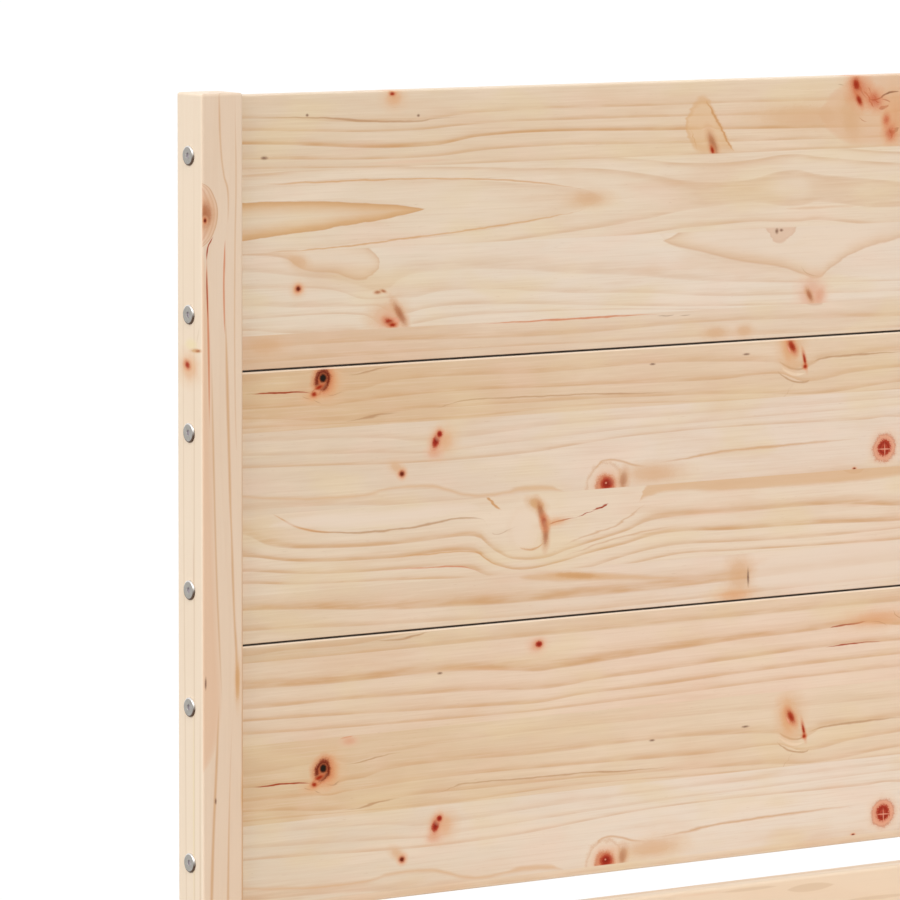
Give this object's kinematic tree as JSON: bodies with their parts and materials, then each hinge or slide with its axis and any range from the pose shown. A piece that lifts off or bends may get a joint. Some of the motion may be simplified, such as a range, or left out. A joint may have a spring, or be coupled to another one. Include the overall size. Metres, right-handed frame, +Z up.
{
  "type": "bed frame",
  "caption": "Pine double bed frame: square posts, a headboard of three wide planed panels, bolted side rails and end boards, and a slatted base on ledgers and a center beam.",
  "frame": {"origin": "on the floor, below the middle of the bed", "axes": "+X across the bed to the right as seen from the foot, +Y towards the headboard, +Z up"},
  "size_m": [1.4674, 2.0674, 1.0015],
  "materials": {
    "pine_post": "planed, clear matt oil",
    "pine_board": "planed, clear matt oil",
    "pine_inner": "planed, untreated",
    "bolt_steel": "satin zinc plating",
    "screw_steel": "zinc plating",
    "zinc_plate": "zinc-plated sheet"
  },
  "bodies": {
    "root": {"batten_screws": "screw_steel", "beam_hanger_foot": "zinc_plate", "beam_hanger_head": "zinc_plate", "center_beam": "pine_inner", "center_leg_foot": "pine_inner", "center_leg_head": "pine_inner", "foot_barrel_nuts_left": "bolt_steel", "foot_barrel_nuts_right": "bolt_steel", "foot_bolts_left": "bolt_steel", "foot_bolts_right": "bolt_steel", "foot_end_board": "pine_board", "foot_post_left": "pine_post", "foot_post_right": "pine_post", "hanger_screws_foot": "screw_steel", "hanger_screws_head": "screw_steel", "head_barrel_nuts_left": "bolt_steel", "head_barrel_nuts_right": "bolt_steel", "head_bolts_left": "bolt_steel", "head_bolts_right": "bolt_steel", "head_end_board": "pine_board", "head_post_left": "pine_post", "head_post_right": "pine_post", "headboard_batten": "pine_inner", "headboard_panel_bottom": "pine_board", "headboard_panel_middle": "pine_board", "headboard_panel_top": "pine_board", "ledger_screws_left": "screw_steel", "ledger_screws_right": "screw_steel", "leg_inserts": "screw_steel", "leg_studs": "screw_steel", "rail_barrel_nuts_left": "bolt_steel", "rail_barrel_nuts_right": "bolt_steel", "rail_bolts_left": "bolt_steel", "rail_bolts_right": "bolt_steel", "side_rail_left": "pine_board", "side_rail_right": "pine_board", "slat_01": "pine_inner", "slat_02": "pine_inner", "slat_03": "pine_inner", "slat_04": "pine_inner", "slat_05": "pine_inner", "slat_06": "pine_inner", "slat_07": "pine_inner", "slat_08": "pine_inner", "slat_09": "pine_inner", "slat_10": "pine_inner", "slat_11": "pine_inner", "slat_12": "pine_inner", "slat_13": "pine_inner", "slat_14": "pine_inner", "slat_15": "pine_inner", "slat_ledger_left": "pine_inner", "slat_ledger_right": "pine_inner", "slat_screws_left": "screw_steel", "slat_screws_right": "screw_steel"}
  },
  "joints": []
}
